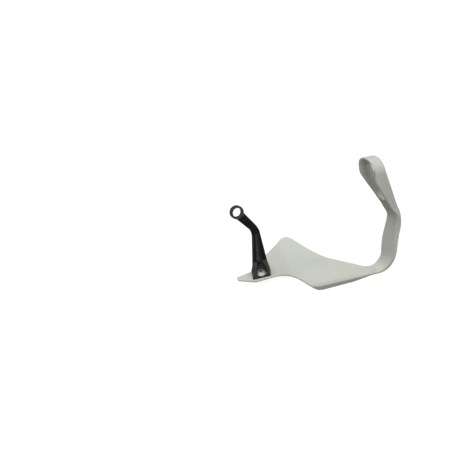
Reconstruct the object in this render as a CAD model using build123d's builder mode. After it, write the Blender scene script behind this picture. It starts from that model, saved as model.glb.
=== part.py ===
from build123d import *
from math import asin, atan2, cos, degrees, radians, sin, tan
import os

# Motorcycle hand guard, right-hand one, lying on the front face of its shield.
# X runs outboard along the handlebar, Y is up on the motorcycle, Z points back to the rider.

# Shield
wall = 3.2
edge_bevel = 0.8
slack = 0.01
tab_rise = 7.5
joggle_start = -20.0
joggle_end = -42.0
joggle_radius = 30.0
hood_start = 1.7
hood_radius = 130.0
hood_sweep = 27.0
lip_start = (-16.0, -42.6)
lip_slope = 35.0
lip_width = 14.0
lip_root_radius = 8.0

# Shield outline, as corners and the radius that rounds each
tab_tip = -94.2
bend_start = 80.4
bend_lead = 7.0
band_low_edge = -46.8
band_high_edge = -31.0
shield_corners = [
    ((bend_start, band_high_edge), 0),
    ((bend_start - bend_lead, band_high_edge), 15.0),
    ((33.3, 4.0), 22.0),
    ((-3.6, 57.2), 13.0),
    ((-72.2, 1.8), 14.0),
    ((tab_tip, -2.6), 2.6),
    ((tab_tip, -8.2), 2.6),
    ((-74.2, -18.0), 10.0),
    ((-21.7, -15.0), 14.0),
    ((-4.4, -51.4), 11.0),
    ((46.0, -50.6), 60.0),
    ((bend_start - bend_lead, band_low_edge), 40.0),
    ((bend_start, band_low_edge), 0),
]

# Side band
bend_radius = 19.8
band_straight = 52.0
band_flare = 20.0
band_width = 19.5
band_thickness = 6.2
band_bevel = 4.3
bend_bevel = 1.5
bevel_ratio = 0.8
bend_swell = 1.5
kink_inset = 0.25

# Bar-end loop, for a 22 mm handlebar
loop_centre = (52.0, -49.6, 166.6)
loop_flare = 16.0
loop_tilt = 10.3
loop_bar_radius = 11.2
loop_throat_radius = 8.0
loop_throat_drop = 38.0
loop_wall = 2.9
merge_drop = 60.0
merge_outset = 50.8
merge_thickness = 11.4
merge_lap = 0.3
loop_inboard_corner = (-7.2, -10.5)
loop_inboard_top = (-17.8, 16.0)
loop_outboard_corner = (2.6, 4.5)
loop_outboard_top = (0.9, 16.0)
loop_corner_radius = 24.0

# Bracket arm
foot_left = -77.2
foot_right = -53.7
foot_front = -15.0
foot_thickness = 2.5
foot_draft = 4.0
arm_front = -6.0
arm_back = 1.5
web = 2.6
bridge_low = 28.0
bridge_high = 31.0
bridge_rise = 1.4
nook_play = 0.9
nook_straight = 17.5
nook_high = (-69.4, -60.7)
channel_low = (-69.5, -61.9)
channel_high = (-72.3, -68.4)
channel_top = 74.5
pocket_corner_radius = 0.8
gusset_top = 31.0
arm_right_low = (-53.1, 20.0)
arm_right_elbow = (-67.6, 80.4)
arm_left_low = (-76.0, 19.0)
arm_left_elbow = (-74.2, 76.4)
arm_right_end = (-90.0, 110.8)
arm_left_end = (-95.9, 101.2)
arm_low_radius = 20.0
arm_right_elbow_radius = 14.0
arm_left_elbow_radius = 34.0
ring_at = (-95.0, -1.5, 108.8)
ring_radius = 8.1
ring_bore_radius = 5.5
ring_length = 5.0
ring_cant = 22.0

# Fastener, M6
screw_at = (-64.3, -8.1)
screw_radius = 3.0
screw_length = 10.0
screw_chamfer = 0.6
head_radius = 6.8
head_height = 3.3
head_flange = 1.0
head_dome_radius = 5.2
head_crown_radius = 2.9
head_dome_curve = 3.6
socket_flats = 4.0
socket_depth = 2.0
nut_flats = 10.0
nut_height = 3.0
hole_radius = 3.3
thread_play = 0.1

tab_top = tab_rise + wall
foot_top = tab_top + foot_thickness
nook_left = screw_at[0] - head_radius - nook_play
nook_right = screw_at[0] + head_radius + nook_play


def rounded_outline(sketch, corners):
    """Draw a closed outline and round each corner by its own radius."""
    Polygon(*[corner for corner, radius in corners], align=None)
    for corner, radius in corners:
        if radius:
            fillet(sketch.vertices().sort_by_distance(corner)[0], radius)


def strip(width, thickness, bevel):
    """Draw the band's section with bevelled corners, the near inner one wider."""
    side = width / 2
    face = thickness / 2
    Polygon(
        (edge_bevel - side, -face),
        (side - edge_bevel, -face),
        (side, edge_bevel - face),
        (side, face - edge_bevel),
        (side - edge_bevel, face),
        (bevel - side, face),
        (-side, face - bevel * bevel_ratio),
        (-side, edge_bevel - face),
        align=None,
    )


def band_plane(x, z, turn, middle, flare):
    """Plane square to the band's run, with its width turned inward by the flare."""
    run = Vector(cos(radians(turn)), 0, sin(radians(turn)))
    inward = Vector(-sin(radians(turn)), 0, cos(radians(turn)))
    across = Vector(0, 1, 0) * cos(radians(flare)) + inward * sin(radians(flare))
    return Plane(origin=(x, middle, z), x_dir=across, z_dir=run)


# Raised lip along the lower edge, running out where the band starts
shield_near = min(y for (x, y), radius in shield_corners) - wall
lip_line = Vector(bend_start, band_low_edge) - Vector(*lip_start)
lip_length = lip_line.length
lip_run = lip_line.normalized()
lip_across = lip_run.cross(Vector(0, 0, 1))
lip_top = wall + lip_width * tan(radians(lip_slope))

# Shield: one section carried along the joggled floor line, then cut to its outline
with BuildPart() as shield:
    with BuildSketch(Plane.YZ.offset(bend_start)):
        with BuildLine():
            inner = CenterArc((hood_start, wall + hood_radius), hood_radius, 270, hood_sweep)
            outer = CenterArc((hood_start, wall + hood_radius), hood_radius + wall, 270, hood_sweep)
            Line(inner @ 1, outer @ 1)
            Polyline(inner @ 0, (shield_near, wall), (shield_near, 0), outer @ 0)
        make_face()
    with BuildLine(Plane.XZ) as floor_line:
        Polyline((bend_start, 0), (joggle_start, 0), (joggle_end, tab_rise), (tab_tip - wall, tab_rise))
        fillet(floor_line.vertices().sort_by(Axis.X)[1:3], joggle_radius)
    sweep()
    with BuildSketch(Plane(origin=(*lip_start, 0), x_dir=lip_across, z_dir=-lip_run)) as lip:
        Polygon((-wall, 0), (lip_width, 0), (lip_width, lip_top), (0, wall), (-wall, wall), align=None)
        fillet(lip.vertices().sort_by_distance((0, wall))[0], lip_root_radius)
    extrude(amount=-lip_length)
    with BuildSketch(Plane.XY) as outline:
        rounded_outline(outline, shield_corners)
    extrude(amount=hood_radius, mode=Mode.INTERSECT)
    walls = shield.faces().filter_by(lambda face: abs(face.normal_at().Z) < slack)
    walls = walls.sort_by(Axis.X)[:-1]
    rim = walls.edges().filter_by(Axis.Z, reverse=True)
    rim = rim.filter_by(lambda edge: edge.center().X < bend_start - slack)
    chamfer(rim, edge_bevel)

# Bar-end loop: a ring drawn out to meet the band, cut to the leaning strip of its edge view
tilt = radians(loop_tilt)
across = Vector(-sin(radians(loop_flare)), cos(radians(loop_flare)), 0)
outboard = Vector(across.Y * cos(tilt), -across.X * cos(tilt), -sin(tilt))
upward = outboard.cross(across)
side_view = Plane(origin=loop_centre, x_dir=across, z_dir=across.cross(upward))
edge_view = Plane(origin=loop_centre, x_dir=outboard, z_dir=outboard.cross(upward))
throat_slope = asin((loop_bar_radius - loop_throat_radius) / loop_throat_drop)
throat_outer = loop_throat_radius + loop_wall
merge_width = 2 * (throat_outer / cos(throat_slope) - (merge_drop - loop_throat_drop) * tan(throat_slope))
ring_outer = loop_bar_radius + loop_wall
slope = degrees(throat_slope)

with BuildPart() as bar_loop:
    with BuildSketch(side_view):
        with BuildLine():
            crown = CenterArc((0, 0), ring_outer, -slope, 180 + 2 * slope)
            Polyline(crown @ 0, (merge_width / 2, -merge_drop), (-merge_width / 2, -merge_drop), crown @ 1)
        make_face()
        with BuildLine():
            high = CenterArc((0, 0), loop_bar_radius, -slope, 180 + 2 * slope)
            low = CenterArc((0, -loop_throat_drop), loop_throat_radius, 180 + slope, 180 - 2 * slope)
            Line(high @ 1, low @ 0)
            Line(low @ 1, high @ 0)
        make_face(mode=Mode.SUBTRACT)
    extrude(amount=2 * merge_drop, both=True)
    with BuildSketch(edge_view) as edge_outline:
        rounded_outline(edge_outline, [
            ((merge_outset - merge_thickness / 2, -merge_drop), 0),
            ((merge_outset + merge_thickness / 2, -merge_drop), 0),
            (loop_outboard_corner, loop_corner_radius),
            (loop_outboard_top, 0),
            (loop_inboard_top, 0),
            (loop_inboard_corner, loop_corner_radius),
        ])
    extrude(amount=merge_drop, both=True, mode=Mode.INTERSECT)
    ring_walls = bar_loop.faces().filter_by(lambda face: abs(face.normal_at().dot(outboard)) < slack)
    ring_walls = ring_walls.sort_by(Axis(loop_centre, upward))[1:]
    rim = ring_walls.edges().filter_by(Axis(loop_centre, outboard), reverse=True)
    chamfer(rim, edge_bevel)

# Side band: bevelled strips set round the bend, up the straight and over to the loop
bend_width = band_high_edge - band_low_edge
band_middle = (band_high_edge + band_low_edge) / 2
straight_x = bend_start + bend_radius - (band_thickness - wall) / 2
straight_z = wall / 2 + bend_radius
kink_z = straight_z + band_straight
merge_at = Vector(loop_centre) + outboard * (merge_outset - merge_lap) - upward * (merge_drop - 2 * merge_lap)
kink_lean = 90 + degrees(atan2(straight_x - merge_at.X, merge_at.Z - kink_z))

stations = []
for share in (0, 1 / 3, 2 / 3, 1):
    thickness = wall + (band_thickness - wall) * min(1, bend_swell * share)
    radius = bend_radius - (thickness - wall) / 2
    x = bend_start + radius * sin(radians(90 * share))
    z = straight_z - radius * cos(radians(90 * share))
    width = bend_width + (band_width - bend_width) * share
    bevel = edge_bevel + (bend_bevel - edge_bevel) * share
    stations.append((band_plane(x, z, 90 * share, band_middle, band_flare * share), width, thickness, bevel))
straight_end = band_plane(straight_x, kink_z, 90, band_middle, band_flare)
kink = band_plane(
    straight_x - (straight_x - merge_at.X) * kink_inset,
    (kink_z + merge_at.Z) / 2,
    kink_lean,
    (band_middle + merge_at.Y) / 2,
    (band_flare + loop_flare) / 2,
)
merge_end = Plane(origin=merge_at, x_dir=across, z_dir=upward)
stations.append((straight_end, band_width, band_thickness, band_bevel))
stations.append((kink, (band_width + merge_width) / 2, band_thickness, (band_bevel + edge_bevel) / 2))
stations.append((merge_end, merge_width + 2 * merge_lap, merge_thickness + 2 * merge_lap, edge_bevel))

with BuildPart() as band:
    for section, width, thickness, bevel in stations:
        with BuildSketch(section):
            strip(width, thickness, bevel)
    loft()

with BuildPart() as guard_shell:
    add(shield.part)
    add(band.part)
    add(bar_loop.part)
    with BuildSketch(Plane.XY):
        with Locations(screw_at):
            Circle(hole_radius)
    extrude(amount=tab_top, mode=Mode.SUBTRACT)

# Bracket arm: drafted front outline crossed with its side outline, then hollowed to rails and a web
with BuildPart() as bracket_arm:
    for y, draft in ((foot_front, 0), (arm_back, foot_draft)):
        with BuildSketch(Plane.XZ.offset(-y)) as arm_face:
            rounded_outline(arm_face, [
                ((foot_left + draft, tab_top), 0),
                ((foot_right, tab_top), 0),
                (arm_right_low, arm_low_radius),
                (arm_right_elbow, arm_right_elbow_radius),
                (arm_right_end, 0),
                (arm_left_end, 0),
                (arm_left_elbow, arm_left_elbow_radius),
                ((arm_left_low[0] + draft, arm_left_low[1]), arm_low_radius),
            ])
    loft(ruled=True)
    with BuildSketch(Plane.YZ):
        Polygon(
            (foot_front, tab_top),
            (foot_front, foot_top),
            (arm_front, gusset_top),
            (arm_front, ring_at[2] + ring_radius),
            (arm_back, ring_at[2] + ring_radius),
            (arm_back, tab_top),
            align=None,
        )
    extrude(amount=2 * ring_at[0], mode=Mode.INTERSECT)
    with BuildSketch(Plane.XZ.offset(-foot_front)) as pockets:
        Polygon(
            (nook_left, foot_top),
            (nook_right, foot_top),
            (nook_right, nook_straight),
            (nook_high[1], bridge_low),
            (nook_high[0], bridge_low),
            (nook_left, nook_straight),
            align=None,
        )
        Polygon(
            (channel_low[0], bridge_high),
            (channel_low[1], bridge_high),
            (channel_high[1], channel_top),
            (channel_high[0], channel_top),
            align=None,
        )
        fillet(pockets.vertices(), pocket_corner_radius)
    extrude(amount=foot_front - arm_back + web, mode=Mode.SUBTRACT)
    with BuildSketch(Plane.XZ.offset(-foot_front)):
        Polygon(
            (nook_high[0], bridge_low),
            (nook_high[1], bridge_low),
            (channel_low[1], bridge_high),
            (channel_low[0], bridge_high),
            align=None,
        )
    extrude(amount=foot_front - arm_back + web + bridge_rise, mode=Mode.SUBTRACT)
    # Mirror-stem ring, with the arm cleared on both sides so that its faces seat flat
    ring_axis = Vector(0, -cos(radians(ring_cant)), sin(radians(ring_cant)))
    ring_plane = Plane(origin=ring_at, x_dir=(1, 0, 0), z_dir=ring_axis)
    with BuildSketch(ring_plane):
        Circle(ring_radius)
    extrude(amount=2 * ring_radius, both=True, mode=Mode.SUBTRACT)
    with BuildSketch(ring_plane):
        Circle(ring_radius)
        Circle(ring_bore_radius, mode=Mode.SUBTRACT)
    extrude(amount=ring_length / 2, both=True)
    with BuildSketch(Plane.XY.offset(tab_top)):
        with Locations(screw_at):
            Circle(hole_radius)
    extrude(amount=foot_thickness, mode=Mode.SUBTRACT)

# Screw: button head with a flange, and a hexagon socket
with BuildPart() as flange_screw:
    with BuildSketch(Plane(origin=(*screw_at, foot_top), x_dir=(1, 0, 0), z_dir=(0, -1, 0))):
        with BuildLine():
            side = Polyline(
                (0, -screw_length),
                (screw_radius - screw_chamfer, -screw_length),
                (screw_radius, screw_chamfer - screw_length),
                (screw_radius, 0),
                (head_radius, 0),
                (head_radius, head_flange),
                (head_dome_radius, head_flange),
            )
            dome = RadiusArc(side @ 1, (head_crown_radius, head_height), -head_dome_curve)
            Polyline(dome @ 1, (0, head_height), (0, -screw_length))
        make_face()
    revolve(axis=Axis((*screw_at, 0), (0, 0, 1)))
    with BuildSketch(Plane.XY.offset(foot_top + head_height)):
        with Locations(screw_at):
            RegularPolygon(socket_flats / 2, 6, major_radius=False)
    extrude(amount=-socket_depth, mode=Mode.SUBTRACT)

with BuildPart() as hex_nut:
    with BuildSketch(Plane.XY.offset(tab_rise)):
        with Locations(screw_at):
            RegularPolygon(nut_flats / 2, 6, major_radius=False)
            Circle(screw_radius + thread_play, mode=Mode.SUBTRACT)
    extrude(amount=-nut_height)

pieces = {
    "guard_shell": guard_shell,
    "bracket_arm": bracket_arm,
    "flange_screw": flange_screw,
    "hex_nut": hex_nut,
}
# The origin is put under the middle of the whole guard
boxes = [piece.part.bounding_box() for piece in pieces.values()]
middle_x = (min(box.min.X for box in boxes) + max(box.max.X for box in boxes)) / 2
middle_y = (min(box.min.Y for box in boxes) + max(box.max.Y for box in boxes)) / 2
os.makedirs("parts", exist_ok=True)
for name, piece in pieces.items():
    piece.part.label = name
    export_step(piece.part.moved(Location((-middle_x, -middle_y, 0))), f"parts/{name}.step")
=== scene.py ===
"""Looks of the motorcycle hand guard: its finishes, its screw and nut, the studio light and the camera."""

import logging
import math
from dataclasses import dataclass, field
from enum import Enum
from typing import Callable

import bpy
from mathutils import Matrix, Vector


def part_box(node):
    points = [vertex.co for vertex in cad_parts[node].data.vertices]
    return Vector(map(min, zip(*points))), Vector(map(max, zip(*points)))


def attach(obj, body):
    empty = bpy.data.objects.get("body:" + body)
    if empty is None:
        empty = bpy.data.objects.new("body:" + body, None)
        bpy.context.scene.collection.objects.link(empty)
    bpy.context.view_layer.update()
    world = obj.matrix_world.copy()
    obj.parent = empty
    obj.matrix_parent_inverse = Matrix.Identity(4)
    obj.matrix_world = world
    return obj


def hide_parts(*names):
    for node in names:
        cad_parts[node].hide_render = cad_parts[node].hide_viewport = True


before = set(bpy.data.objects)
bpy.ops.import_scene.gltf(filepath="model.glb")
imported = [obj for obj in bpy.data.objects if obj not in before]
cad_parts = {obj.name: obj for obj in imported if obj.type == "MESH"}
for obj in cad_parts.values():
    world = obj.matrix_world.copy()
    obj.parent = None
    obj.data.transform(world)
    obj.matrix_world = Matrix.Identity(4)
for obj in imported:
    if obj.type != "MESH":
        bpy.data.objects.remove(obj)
log = logging.getLogger("hand_guard")

Colour = tuple[float, float, float]
Place = tuple[float, float, float]
Span = tuple[float, float]
Socket = bpy.types.NodeSocket

MM = 0.001
# Points closer than this are merged
WELD = 0.001 * MM
# A face whose normal has more than this along Z counts as level
LEVEL = 0.9
HEXAGON = 6
WHITE = (1.0, 1.0, 1.0, 1.0)


class Node(Enum):
    """Names of the CAD nodes."""

    SHELL = "guard_shell"
    ARM = "bracket_arm"
    SCREW = "flange_screw"
    NUT = "hex_nut"


class Slot(Enum):
    """Name of a material slot of the record; the script gives it to no piece."""

    FASTENER = "fastener_steel"


class Cut(Enum):
    """Ways to cut one solid by another."""

    AWAY = "DIFFERENCE"
    COMMON = "INTERSECT"


class Shading:
    """The nodes of one material, joined one after another.

    Args:
        name: The material's name.
    """

    NOISE_MIDDLE: Span = (0.3, 0.7)
    EDGE_TURN: Span = (0.985, 0.86)

    def __init__(self, name: str) -> None:
        """Starts the material with its shader and the piece's own coordinates."""
        self.material = bpy.data.materials.new(name)
        self.material.use_nodes = True
        self.tree = self.material.node_tree
        self.shader = self.tree.nodes["Principled BSDF"]
        self.place = self.tree.nodes.new("ShaderNodeTexCoord").outputs["Object"]

    def add(self, kind: str, **inputs: object) -> bpy.types.Node:
        """Adds a node and sets or links its inputs.

        Args:
            kind: The node's type name.
            inputs: Values or output sockets by input name, with _ for a space.

        Returns:
            The new node.
        """
        node = self.tree.nodes.new(kind)
        for name, value in inputs.items():
            self.feed(node, name.replace("_", " "), value)
        return node

    def feed(self, node: bpy.types.Node, name: str, value: object) -> None:
        """Links an output socket to an input, or sets the input's own value.

        Args:
            node: The node that takes the value.
            name: The input's name.
            value: An output socket, or a plain value.
        """
        if isinstance(value, Socket):
            self.tree.links.new(value, node.inputs[name])
        else:
            node.inputs[name].default_value = value

    def noise(self, scale: float, detail: float = 2.0, roughness: float = 0.5) -> Socket:
        """Adds noise on the piece's own coordinates.

        Args:
            scale: Features per metre.
            detail: Octaves.
            roughness: Share of the finer octaves.

        Returns:
            The noise's factor.
        """
        node = self.add("ShaderNodeTexNoise", Vector=self.place, Scale=scale, Detail=detail, Roughness=roughness)
        return node.outputs["Fac"]

    def streaks(self, scale: float, stretch: Place) -> Socket:
        """Adds noise drawn out along one direction, as rubbing leaves it.

        Args:
            scale: Features per metre across the streaks.
            stretch: Scale of each axis before the noise.

        Returns:
            The noise's factor.
        """
        drawn = self.add("ShaderNodeMapping", Vector=self.place, Scale=stretch).outputs["Vector"]
        node = self.add("ShaderNodeTexNoise", Vector=drawn, Scale=scale, Detail=4.0, Roughness=0.7)
        return node.outputs["Fac"]

    def ramp(self, factor: Socket, start: float, end: float, low: float, high: float) -> Socket:
        """Maps one range onto another.

        Args:
            factor: The value to map.
            start: Where it gives the low value.
            end: Where it gives the high value.
            low: Value at the start.
            high: Value at the end.

        Returns:
            The mapped value.
        """
        node = self.add("ShaderNodeMapRange", Value=factor, From_Min=start, From_Max=end, To_Min=low, To_Max=high)
        return node.outputs["Result"]

    def spread(self, factor: Socket, low: float, high: float) -> Socket:
        """Maps the middle of a noise onto a range.

        Args:
            factor: The noise's factor.
            low: Value at the noise's dark places.
            high: Value at its light places.

        Returns:
            The mapped value.
        """
        return self.ramp(factor, *self.NOISE_MIDDLE, low, high)

    def tint(self, factor: Socket, dark: Colour, light: Colour) -> Socket:
        """Turns a noise into a colour between two.

        Args:
            factor: The noise's factor.
            dark: Linear colour at the noise's dark places.
            light: Linear colour at its light places.

        Returns:
            The colour.
        """
        node = self.add("ShaderNodeValToRGB", Fac=factor)
        for stop, position, colour in zip(node.color_ramp.elements, self.NOISE_MIDDLE, (dark, light)):
            stop.position = position
            stop.color = (*colour, 1.0)
        return node.outputs["Color"]

    def times(self, first: Socket, second: Socket) -> Socket:
        """Returns the product of two values."""
        node = self.add("ShaderNodeMath")
        node.operation = "MULTIPLY"
        self.tree.links.new(first, node.inputs[0])
        self.tree.links.new(second, node.inputs[1])
        return node.outputs["Value"]

    def blend(self, factor: Socket, first: Socket | Colour, second: Socket | Colour) -> Socket:
        """Mixes two colours by a factor.

        Args:
            factor: 0 for the first colour, 1 for the second.
            first: A colour socket, or a linear colour.
            second: A colour socket, or a linear colour.

        Returns:
            The mixed colour.
        """
        node = self.add("ShaderNodeMixRGB", Fac=factor)
        for name, colour in (("Color1", first), ("Color2", second)):
            self.feed(node, name, (*colour, 1.0) if isinstance(colour, tuple) else colour)
        return node.outputs["Color"]

    def relief(self, height: Socket, depth: float, strength: float, under: Socket | None = None) -> Socket:
        """Adds a bump on top of another.

        Args:
            height: The bump's height.
            depth: Distance in metres.
            strength: Share of the bump that shows.
            under: The normal that it lies on, if any.

        Returns:
            The bumped normal.
        """
        node = self.add("ShaderNodeBump", Height=height, Distance=depth, Strength=strength)
        if under is not None:
            self.feed(node, "Normal", under)
        return node.outputs["Normal"]

    def rounded(self, radius: float) -> tuple[Socket, Socket]:
        """Rounds the edges for shading, and finds where they are.

        Args:
            radius: Radius of the rounding in metres.

        Returns:
            The rounded normal, and a factor that is 1 on faces and falls towards the edges.
        """
        soft = self.add("ShaderNodeBevel", Radius=radius).outputs["Normal"]
        flat = self.add("ShaderNodeNewGeometry").outputs["Normal"]
        compare = self.add("ShaderNodeVectorMath")
        compare.operation = "DOT_PRODUCT"
        self.tree.links.new(soft, compare.inputs[0])
        self.tree.links.new(flat, compare.inputs[1])
        return soft, compare.outputs["Value"]

    def edge_wear_and_highlight(self, facing: Socket, breakup: Socket) -> Socket:
        """Turns the edges into a broken line of wear and painted highlight.

        Args:
            facing: Factor that falls towards the edges.
            breakup: Noise that breaks the line.

        Returns:
            The wear and painted edge highlight, from 0 on faces to 1 on the lightened edges.
        """
        return self.times(self.ramp(facing, *self.EDGE_TURN, 0.0, 1.0), self.spread(breakup, 0.0, 1.0))

    def recess(self, reach: float, deep: float, shallow: float) -> Socket:
        """Finds recesses.

        Args:
            reach: Distance over which walls count as near, in metres.
            deep: Openness that counts as fully recessed.
            shallow: Openness that counts as open.

        Returns:
            A factor that is 1 in the open and 0 in recesses.
        """
        openness = self.add("ShaderNodeAmbientOcclusion", Distance=reach).outputs["AO"]
        return self.ramp(openness, deep, shallow, 0.0, 1.0)

    def set(self, **inputs: object) -> bpy.types.Material:
        """Sets the shader's inputs and returns the material."""
        for name, value in inputs.items():
            self.feed(self.shader, name.replace("_", " "), value)
        return self.material


@dataclass(frozen=True)
class MouldedPlastic:
    """Satin light grey plastic with the fine grain of a textured mould, its edges lightened as wear and as a
    painted highlight.
    """

    dark: Colour = (0.384, 0.396, 0.351)
    light: Colour = (0.419, 0.432, 0.384)
    # Lighter colour of the edges: part wear, part painted highlight.
    rubbed_and_highlit: Colour = (0.466, 0.478, 0.432)
    satin: Span = (0.42, 0.56)
    refraction: float = 1.46
    edge_radius: float = 1.0 * MM
    drift_scale: float = 22.0
    smudge_scale: float = 90.0
    rub_scale: float = 260.0
    rub_stretch: Place = (0.15, 1.0, 1.0)
    scuff_depth: float = 0.02 * MM
    scuff_strength: float = 0.15
    grain_scale: float = 2600.0
    grain_depth: float = 0.05 * MM
    grain_strength: float = 0.3
    wave_scale: float = 60.0
    wave_depth: float = 0.25 * MM
    wave_strength: float = 0.12

    def material(self) -> bpy.types.Material:
        """Returns the plastic's material."""
        sheet = Shading("moulded_plastic")
        soft, facing = sheet.rounded(self.edge_radius)
        scuffs = sheet.streaks(self.rub_scale, self.rub_stretch)
        # Edges lightened in the colour: part wear, part painted highlight.
        worn_and_highlit = sheet.edge_wear_and_highlight(facing, scuffs)
        colour = sheet.tint(sheet.noise(self.drift_scale, detail=3.0), self.dark, self.light)
        smudges = sheet.noise(self.smudge_scale, detail=4.0, roughness=0.6)
        waves = sheet.noise(self.wave_scale, detail=1.0)
        grain = sheet.noise(self.grain_scale, detail=3.0, roughness=0.6)
        normal = sheet.relief(waves, self.wave_depth, self.wave_strength, soft)
        normal = sheet.relief(grain, self.grain_depth, self.grain_strength, normal)
        normal = sheet.relief(scuffs, self.scuff_depth, self.scuff_strength, normal)
        return sheet.set(
            Base_Color=sheet.blend(worn_and_highlit, colour, self.rubbed_and_highlit),
            Roughness=sheet.spread(smudges, *self.satin),
            Normal=normal,
            IOR=self.refraction,
        )


@dataclass(frozen=True)
class BlackCoat:
    """Black satin coat over the skin of a casting, its edges lightened to grey as wear and painted highlight, and
    its recesses lightened as dust and painted light.
    """

    dark: Colour = (0.004, 0.0046, 0.0044)
    light: Colour = (0.008, 0.0088, 0.0084)
    # Lighter colour of the edges: part wear, part painted highlight.
    rubbed_and_highlit: Colour = (0.040, 0.042, 0.041)
    # Lighter colour in recesses: dust, and painted light that lifts their shade.
    dust_and_light: Colour = (0.092, 0.097, 0.090)
    dust_and_light_reach: float = 7.0 * MM
    dust_and_light_openness: Span = (0.35, 0.9)
    satin: Span = (0.22, 0.42)
    shine: float = 0.2
    edge_radius: float = 0.5 * MM
    drift_scale: float = 70.0
    rub_scale: float = 420.0
    rub_stretch: Place = (1.0, 1.0, 0.2)
    peel_scale: float = 1100.0
    peel_depth: float = 0.12 * MM
    peel_strength: float = 0.55
    speck_scale: float = 3600.0
    speck_depth: float = 0.03 * MM
    speck_strength: float = 0.6

    def material(self) -> bpy.types.Material:
        """Returns the coat's material."""
        sheet = Shading("black_coat")
        soft, facing = sheet.rounded(self.edge_radius)
        # Edges lightened to grey in the colour: part wear, part painted highlight.
        worn_and_highlit = sheet.edge_wear_and_highlight(facing, sheet.streaks(self.rub_scale, self.rub_stretch))
        colour = sheet.tint(sheet.noise(self.drift_scale, detail=3.0), self.dark, self.light)
        # Recesses take the lighter colour: dust and painted light.
        dust_and_light_colour = sheet.blend(sheet.recess(self.dust_and_light_reach, *self.dust_and_light_openness), self.dust_and_light, colour)
        smudges = sheet.noise(self.drift_scale, detail=5.0, roughness=0.65)
        normal = sheet.relief(sheet.noise(self.peel_scale, detail=1.5), self.peel_depth, self.peel_strength, soft)
        normal = sheet.relief(sheet.noise(self.speck_scale), self.speck_depth, self.speck_strength, normal)
        return sheet.set(
            Base_Color=sheet.blend(worn_and_highlit, dust_and_light_colour, self.rubbed_and_highlit),
            Roughness=sheet.spread(smudges, *self.satin),
            Normal=normal,
            Specular_IOR_Level=self.shine,
        )


@dataclass(frozen=True)
class ZincPlate:
    """Zinc plate with a fine mottle and the faint rings of turning, its recesses darkened by painted shade.

    Args:
        axis: Place of the fastener's axis, in metres.
    """

    axis: Span
    dark: Colour = (0.30, 0.31, 0.30)
    light: Colour = (0.46, 0.47, 0.45)
    # Painted shade: near-black colour put into recesses such as the socket.
    painted_shade: Colour = (0.02, 0.02, 0.019)
    painted_shade_reach: float = 3.0 * MM
    painted_shade_openness: Span = (0.38, 0.78)
    gloss: Span = (0.40, 0.56)
    metal_share: float = 0.55
    mottle_scale: float = 420.0
    haze_scale: float = 900.0
    ring_scale: float = 700.0
    ring_wander: float = 0.6
    ring_depth: float = 0.02 * MM
    ring_strength: float = 0.25

    def material(self) -> bpy.types.Material:
        """Returns the plate's material."""
        sheet = Shading("zinc_plate")
        to_axis = (-self.axis[0], -self.axis[1], 0.0)
        centred = sheet.add("ShaderNodeMapping", Vector=sheet.place, Location=to_axis).outputs["Vector"]
        rings = sheet.add(
            "ShaderNodeTexWave", Vector=centred, Scale=self.ring_scale, Distortion=self.ring_wander, Detail=2.0
        )
        rings.wave_type = "RINGS"
        rings.rings_direction = "Z"
        colour = sheet.tint(sheet.noise(self.mottle_scale, detail=4.0, roughness=0.6), self.dark, self.light)
        return sheet.set(
            # Recesses such as the socket take the painted shade colour.
            Base_Color=sheet.blend(sheet.recess(self.painted_shade_reach, *self.painted_shade_openness), self.painted_shade, colour),
            Roughness=sheet.spread(sheet.noise(self.haze_scale, detail=3.0), *self.gloss),
            Normal=sheet.relief(rings.outputs["Fac"], self.ring_depth, self.ring_strength),
            Metallic=self.metal_share,
        )


@dataclass(frozen=True)
class PaleFloor:
    """Matt floor that shows white by a glow that lights nothing; under the glow it is dark near the guard."""

    near: Colour = (0.13, 0.13, 0.13)
    dark: Colour = (0.36, 0.36, 0.36)
    light: Colour = (0.38, 0.38, 0.38)
    glow: Span = (0.91, 1.0)
    fade: Span = (0.15, 0.9)
    mottle_scale: float = 3.0
    roughness: float = 0.95
    shine: float = 0.1

    def material(self) -> bpy.types.Material:
        """Returns the floor's material."""
        sheet = Shading("pale_floor")
        colour = sheet.tint(sheet.noise(self.mottle_scale), self.dark, self.light)
        away = sheet.add("ShaderNodeVectorMath", Vector=sheet.place)
        away.operation = "LENGTH"
        far = sheet.ramp(away.outputs["Value"], *self.fade, 0.0, 1.0)
        seen = sheet.add("ShaderNodeLightPath").outputs["Is Camera Ray"]
        return sheet.set(
            Base_Color=sheet.blend(far, self.near, colour),
            Roughness=self.roughness,
            Specular_IOR_Level=self.shine,
            Emission_Color=WHITE,
            Emission_Strength=sheet.times(sheet.ramp(far, 0.0, 1.0, *self.glow), seen),
        )


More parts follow.
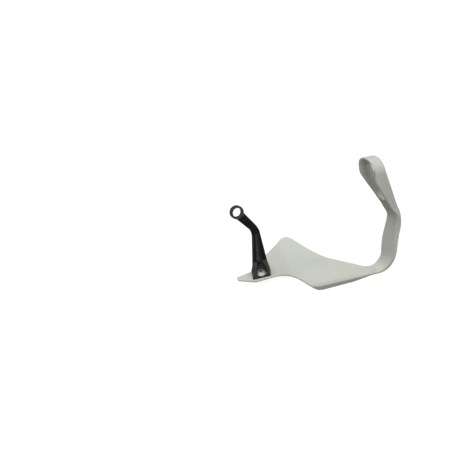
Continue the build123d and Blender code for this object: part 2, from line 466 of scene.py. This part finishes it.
class Bench:
    """Mesh editing with operators, one step after another."""

    @staticmethod
    def clear() -> None:
        """Leaves nothing selected."""
        bpy.ops.object.select_all(action="DESELECT")

    @staticmethod
    def pick(piece: bpy.types.Object, wanted: Callable[[bpy.types.MeshPolygon], bool]) -> None:
        """Selects the faces that a test wants, and stays in edit mode.

        Args:
            piece: The object being edited.
            wanted: Test of one face.
        """
        bpy.ops.object.mode_set(mode="EDIT")
        bpy.ops.mesh.select_mode(type="FACE")
        bpy.ops.mesh.select_all(action="DESELECT")
        bpy.ops.object.mode_set(mode="OBJECT")
        for face in piece.data.polygons:
            face.select = wanted(face)
        bpy.ops.object.mode_set(mode="EDIT")

    @staticmethod
    def draw_out(rise: float) -> None:
        """Extrudes the picked face along Z by a height in metres."""
        bpy.ops.mesh.extrude_region_move(TRANSFORM_OT_translate={"value": (0.0, 0.0, rise)})

    @staticmethod
    def raise_to(rise: float, share: float, centre: Place) -> None:
        """Extrudes the picked face along Z and scales it about a centre.

        Args:
            rise: Height of the step in metres.
            share: New width as a share of the old.
            centre: Place to scale about.
        """
        Bench.draw_out(rise)
        bpy.ops.transform.resize(value=(share, share, 1.0), center_override=centre)

    @staticmethod
    def cut(piece: bpy.types.Object, tool: bpy.types.Object, how: Cut) -> None:
        """Cuts a piece with a tool that is then taken away.

        Args:
            piece: The piece that is cut.
            tool: The cutting object.
            how: Which part of the piece stays.
        """
        Bench.clear()
        piece.select_set(True)
        bpy.context.view_layer.objects.active = piece
        cutter = piece.modifiers.new("cut", "BOOLEAN")
        cutter.operation = how.value
        cutter.solver = "EXACT"
        cutter.object = tool
        bpy.ops.object.modifier_apply(modifier=cutter.name)
        bpy.data.objects.remove(tool)

    @staticmethod
    def finish(piece: bpy.types.Object, smooth_deg: float, finish: bpy.types.Material) -> None:
        """Cleans a piece, puts its origin at the scene's, smooths it by angle and dresses it.

        Args:
            piece: The object being edited.
            smooth_deg: Edges sharper than this stay sharp.
            finish: The material to give it.
        """
        bpy.ops.object.mode_set(mode="EDIT")
        bpy.ops.mesh.select_all(action="SELECT")
        bpy.ops.mesh.remove_doubles(threshold=WELD)
        bpy.ops.mesh.normals_make_consistent(inside=False)
        bpy.ops.object.mode_set(mode="OBJECT")
        bpy.ops.object.transform_apply(location=True, rotation=True, scale=True)
        bpy.ops.object.shade_smooth_by_angle(angle=math.radians(smooth_deg))
        piece.data.materials.clear()
        piece.data.materials.append(finish)


@dataclass
class FlangeScrew:
    """Domed flange screw with a hexagon socket and a rolled thread."""

    head_radius: float = 6.8 * MM
    head_height: float = 3.3 * MM
    flange: float = 1.0 * MM
    dome_steps: tuple[Span, ...] = ((0.35 * MM, 0.80), (0.75 * MM, 0.95), (0.75 * MM, 0.86), (0.45 * MM, 0.72))
    rim: float = 0.18 * MM
    rim_segments: int = 2
    rim_angle_deg: float = 35.0
    socket_flats: float = 4.0 * MM
    socket_depth: float = 2.0 * MM
    core_radius: float = 2.45 * MM
    tip: float = 0.4 * MM
    tip_share: float = 0.8
    crest_radius: float = 2.98 * MM
    thread_start: float = 0.7 * MM
    pitch: float = 1.0 * MM
    turns: int = 8
    turn_steps: int = 40
    ridge_corners: int = 4
    sides: int = 64
    smooth_deg: float = 30.0
    low: Vector = field(init=False)
    high: Vector = field(init=False)
    axis: Span = field(init=False)
    seat: float = field(init=False)

    def __post_init__(self) -> None:
        """Takes the screw's place from its CAD node."""
        self.low, self.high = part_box(Node.SCREW.value)
        self.axis = ((self.low.x + self.high.x) / 2, (self.low.y + self.high.y) / 2)
        self.seat = self.high.z - self.head_height

    def head(self) -> bpy.types.Object:
        """Returns the head with its dome and shank."""
        Bench.clear()
        middle = (*self.axis, self.seat + self.flange / 2)
        bpy.ops.mesh.primitive_cylinder_add(
            vertices=self.sides, radius=self.head_radius, depth=self.flange, location=middle
        )
        piece = bpy.context.object
        piece.name = "clamp_screw"
        Bench.pick(piece, lambda face: face.normal.z > LEVEL)
        for rise, share in self.dome_steps:
            Bench.raise_to(rise, share, middle)
        Bench.pick(piece, lambda face: face.normal.z < -LEVEL)
        bpy.ops.mesh.inset(thickness=self.head_radius - self.core_radius)
        Bench.draw_out(self.low.z + self.tip - self.seat)
        Bench.raise_to(-self.tip, self.tip_share, middle)
        bpy.ops.object.mode_set(mode="OBJECT")
        bevel = piece.modifiers.new("rim", "BEVEL")
        bevel.width = self.rim
        bevel.segments = self.rim_segments
        bevel.angle_limit = math.radians(self.rim_angle_deg)
        bpy.ops.object.modifier_apply(modifier=bevel.name)
        return piece

    def socket(self) -> bpy.types.Object:
        """Returns the hexagon that cuts the socket."""
        Bench.clear()
        bpy.ops.mesh.primitive_cylinder_add(
            vertices=HEXAGON,
            radius=self.socket_flats / math.sqrt(3.0),
            depth=2 * self.socket_depth,
            location=(*self.axis, self.high.z),
        )
        return bpy.context.object

    def thread(self) -> bpy.types.Object:
        """Returns the thread's ridge, wound as a helix."""
        Bench.clear()
        middle = (self.core_radius + self.crest_radius) / 2
        bpy.ops.mesh.primitive_circle_add(
            vertices=self.ridge_corners, radius=self.crest_radius - middle, fill_type="NOTHING"
        )
        ridge = bpy.context.object
        bpy.ops.object.mode_set(mode="EDIT")
        bpy.ops.mesh.select_all(action="SELECT")
        bpy.ops.transform.rotate(value=math.pi / 2, orient_axis="X", center_override=(0.0, 0.0, 0.0))
        bpy.ops.transform.translate(value=(middle, 0.0, 0.0))
        bpy.ops.object.mode_set(mode="OBJECT")
        wind = ridge.modifiers.new("wind", "SCREW")
        wind.screw_offset = self.pitch
        wind.iterations = self.turns
        wind.steps = self.turn_steps
        wind.render_steps = self.turn_steps
        bpy.ops.object.modifier_apply(modifier=wind.name)
        bpy.ops.object.mode_set(mode="EDIT")
        bpy.ops.mesh.select_all(action="SELECT")
        bpy.ops.mesh.fill_holes(sides=0)
        bpy.ops.mesh.select_all(action="SELECT")
        bpy.ops.transform.translate(value=(*self.axis, self.low.z + self.thread_start))
        bpy.ops.object.mode_set(mode="OBJECT")
        return ridge

    def build(self, finish: bpy.types.Material) -> bpy.types.Object:
        """Builds the whole screw, dressed and riding on the frame.

        Args:
            finish: The material to give it.

        Returns:
            The finished screw.
        """
        piece = self.head()
        Bench.cut(piece, self.socket(), Cut.AWAY)
        ridge = self.thread()
        Bench.clear()
        ridge.select_set(True)
        piece.select_set(True)
        bpy.context.view_layer.objects.active = piece
        bpy.ops.object.join()
        Bench.finish(piece, self.smooth_deg, finish)
        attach(piece, "root")
        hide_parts(Node.SCREW.value)
        return piece


@dataclass
class HexNut:
    """Thin hexagon nut with chamfered corners and a plain bore."""

    chamfer: float = 0.75 * MM
    bore_radius: float = 3.1 * MM
    drill_reach: float = 0.4 * MM
    flats_turn_deg: float = 30.0
    sides: int = 64
    smooth_deg: float = 25.0
    low: Vector = field(init=False)
    high: Vector = field(init=False)

    def __post_init__(self) -> None:
        """Takes the nut's place from its CAD node."""
        self.low, self.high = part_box(Node.NUT.value)

    def blank(self, sides: int, radius: float, turn_deg: float = 0.0) -> bpy.types.Object:
        """Adds an upright prism of the nut's height on its middle.

        Args:
            sides: Number of its sides.
            radius: Radius to its corners.
            turn_deg: Turn about the axis.

        Returns:
            The prism.
        """
        Bench.clear()
        bpy.ops.mesh.primitive_cylinder_add(
            vertices=sides,
            radius=radius,
            depth=self.high.z - self.low.z,
            location=(self.low + self.high) / 2,
            rotation=(0.0, 0.0, math.radians(turn_deg)),
        )
        return bpy.context.object

    def build(self, finish: bpy.types.Material) -> bpy.types.Object:
        """Builds the nut, dressed and riding on the frame.

        Args:
            finish: The material to give it.

        Returns:
            The finished nut.
        """
        corner = (self.high.x - self.low.x) / 2
        round_blank = self.blank(self.sides, corner)
        Bench.pick(round_blank, lambda face: abs(face.normal.z) > LEVEL)
        bpy.ops.mesh.bevel(offset=self.chamfer, segments=1)
        bpy.ops.object.mode_set(mode="OBJECT")
        drill = self.blank(self.sides, self.bore_radius)
        Bench.pick(drill, lambda face: abs(face.normal.z) > LEVEL)
        bpy.ops.mesh.extrude_region_shrink_fatten(TRANSFORM_OT_shrink_fatten={"value": self.drill_reach})
        bpy.ops.object.mode_set(mode="OBJECT")
        piece = self.blank(HEXAGON, corner, self.flats_turn_deg)
        piece.name = "clamp_nut"
        Bench.cut(piece, round_blank, Cut.COMMON)
        Bench.cut(piece, drill, Cut.AWAY)
        Bench.finish(piece, self.smooth_deg, finish)
        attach(piece, "root")
        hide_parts(Node.NUT.value)
        return piece


class CadPieces:
    """The pieces that are shown as the CAD made them, each with its finish."""

    @staticmethod
    def dress(node: Node, finish: bpy.types.Material) -> bpy.types.Object:
        """Gives a CAD node its finish.

        Args:
            node: The node to dress.
            finish: The material to give it.

        Returns:
            The dressed node.
        """
        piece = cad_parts[node.value]
        for slot in piece.material_slots:
            slot.material = finish
        return piece


@dataclass
class Studio:
    """Pale floor, soft light from above and in front, an even surround and a black card."""

    floor_size: float = 14.0
    card_size: Span = (140.0 * MM, 16.0 * MM)
    card_place: Span = (15.0 * MM, -78.0 * MM)
    card_colour: Colour = (0.01, 0.01, 0.01)
    surround: float = 0.60
    key_size: float = 1.3
    key_place: Place = (-0.55, 0.0, 1.52)
    key_power: float = 22.5
    fill_size: float = 1.2
    fill_place: Place = (0.3, -1.65, 0.8)
    fill_power: float = 16.0

    def lay_floor(self) -> None:
        """Lays the floor."""
        Bench.clear()
        bpy.ops.mesh.primitive_plane_add(size=self.floor_size)
        floor = bpy.context.object
        floor.name = "floor"
        floor.data.materials.append(PaleFloor().material())

    def stand_card(self) -> None:
        """Stands a black card that keeps light off the guard's near edge, out of the camera's sight."""
        Bench.clear()
        width, height = self.card_size
        bpy.ops.mesh.primitive_plane_add(
            size=1.0, location=(*self.card_place, height / 2), rotation=(math.pi / 2, 0.0, 0.0)
        )
        card = bpy.context.object
        card.name = "black_card"
        card.scale = (width, height, 1.0)
        bpy.ops.object.transform_apply(location=True, rotation=True, scale=True)
        card.data.materials.append(Shading("black_card").set(Base_Color=(*self.card_colour, 1.0), Roughness=1.0))
        card.visible_camera = False

    @staticmethod
    def hang_softbox(name: str, place: Place, size: float, power: float) -> None:
        """Hangs a square softbox that faces the origin.

        Args:
            name: The light's name.
            place: Where it hangs, in metres.
            size: Its side.
            power: Its power in watts.
        """
        Bench.clear()
        bpy.ops.object.light_add(type="AREA", location=place)
        box = bpy.context.object
        box.name = name
        box.data.size = size
        box.data.energy = power
        box.rotation_mode = "QUATERNION"
        box.rotation_quaternion = (-Vector(place)).to_track_quat("-Z", "Y")

    def surround_light(self) -> None:
        """Sets an even, colourless surround that shows white, and a plain view of it."""
        world = bpy.data.worlds.new("surround")
        world.use_nodes = True
        tree = world.node_tree
        sky = tree.nodes["Background"]
        sky.inputs["Color"].default_value = WHITE
        strength = tree.nodes.new("ShaderNodeMapRange")
        strength.inputs["To Min"].default_value = self.surround
        tree.links.new(tree.nodes.new("ShaderNodeLightPath").outputs["Is Camera Ray"], strength.inputs["Value"])
        tree.links.new(strength.outputs["Result"], sky.inputs["Strength"])
        bpy.context.scene.world = world
        bpy.context.scene.view_settings.view_transform = "Standard"

    def build(self) -> None:
        """Builds the floor, the light, the surround and the card."""
        self.lay_floor()
        self.hang_softbox("key_softbox", self.key_place, self.key_size, self.key_power)
        self.hang_softbox("fill_softbox", self.fill_place, self.fill_size, self.fill_power)
        self.surround_light()
        self.stand_card()


@dataclass
class PhotoCamera:
    """Camera at the viewing angle that the guard is seen from."""

    azimuth_deg: float = -20.0
    elevation_deg: float = 36.0
    distance: float = 0.9
    from_screw: Span = (-30.06 * MM, 44.80 * MM)
    aim_height: float = 62.7 * MM
    lens_mm: float = 57.35
    sensor_mm: float = 36.0

    def place(self, screw_axis: Span) -> bpy.types.Object:
        """Puts the camera in the scene.

        Args:
            screw_axis: Place of the screw's axis, which the aim is measured from.

        Returns:
            The camera.
        """
        Bench.clear()
        aim = Vector((screw_axis[0] + self.from_screw[0], screw_axis[1] + self.from_screw[1], self.aim_height))
        turn, lift = math.radians(self.azimuth_deg), math.radians(self.elevation_deg)
        back = Vector((math.sin(turn) * math.cos(lift), -math.cos(turn) * math.cos(lift), math.sin(lift)))
        bpy.ops.object.camera_add(location=aim + back * self.distance)
        camera = bpy.context.object
        camera.name = "photo_camera"
        camera.rotation_mode = "QUATERNION"
        camera.rotation_quaternion = (-back).to_track_quat("-Z", "Y")
        camera.data.lens = self.lens_mm
        camera.data.sensor_width = self.sensor_mm
        bpy.context.scene.camera = camera
        return camera


def main() -> None:
    """Builds the looks in order and reports each piece."""
    logging.basicConfig(level=logging.INFO, format="%(name)s: %(message)s")
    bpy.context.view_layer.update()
    for node, finish in ((Node.SHELL, MouldedPlastic()), (Node.ARM, BlackCoat())):
        log.info("dressed %s", CadPieces.dress(node, finish.material()).name)
    screw = FlangeScrew()
    zinc = ZincPlate(screw.axis).material()
    for fastener in (screw, HexNut()):
        log.info("built %s", fastener.build(zinc).name)
    Studio().build()
    log.info("placed %s", PhotoCamera().place(screw.axis).name)


if __name__ == "__main__":
    main()
